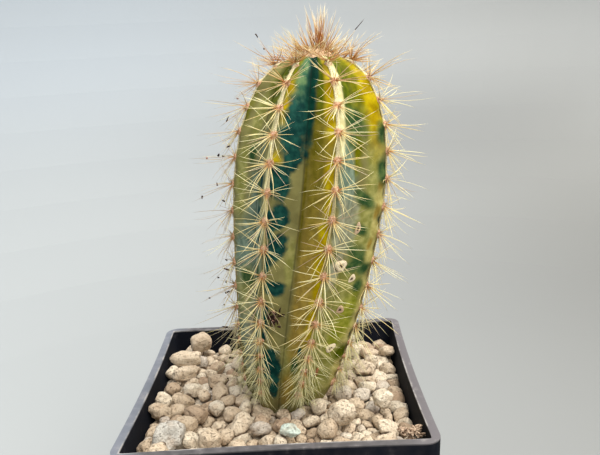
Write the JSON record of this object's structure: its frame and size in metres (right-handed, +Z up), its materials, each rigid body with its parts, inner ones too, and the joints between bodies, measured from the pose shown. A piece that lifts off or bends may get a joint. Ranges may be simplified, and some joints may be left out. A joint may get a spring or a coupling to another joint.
{
  "type": "potted variegated torch cactus",
  "caption": "Young ribbed columnar cactus with yellow and blue-green marbled skin and straw spines, leaning a little in a square black nursery pot topped with pumice.",
  "frame": {"origin": "centre of the pot's underside, on the surface that it stands on", "axes": "+Z up along the plant, -Y towards the viewer, +X to the right, the way the stem leans"},
  "size_m": [0.0837, 0.08, 0.1747],
  "materials": {
    "black_plastic": "satin",
    "potting_mix": "matte",
    "pumice": "matte",
    "variegated_skin": "satin",
    "straw_spines": "satin",
    "rust_spines": "satin"
  },
  "bodies": {
    "root": {"pot": "black_plastic", "potting_mix": "potting_mix", "pumice_dressing": "pumice", "stem": "variegated_skin", "crown_spines": "rust_spines", "rib_1_spines": "straw_spines", "rib_2_spines": "straw_spines", "rib_3_spines": "straw_spines", "rib_4_spines": "straw_spines", "rib_5_spines": "straw_spines", "rib_6_spines": "straw_spines", "rib_7_spines": "straw_spines"}
  },
  "joints": []
}
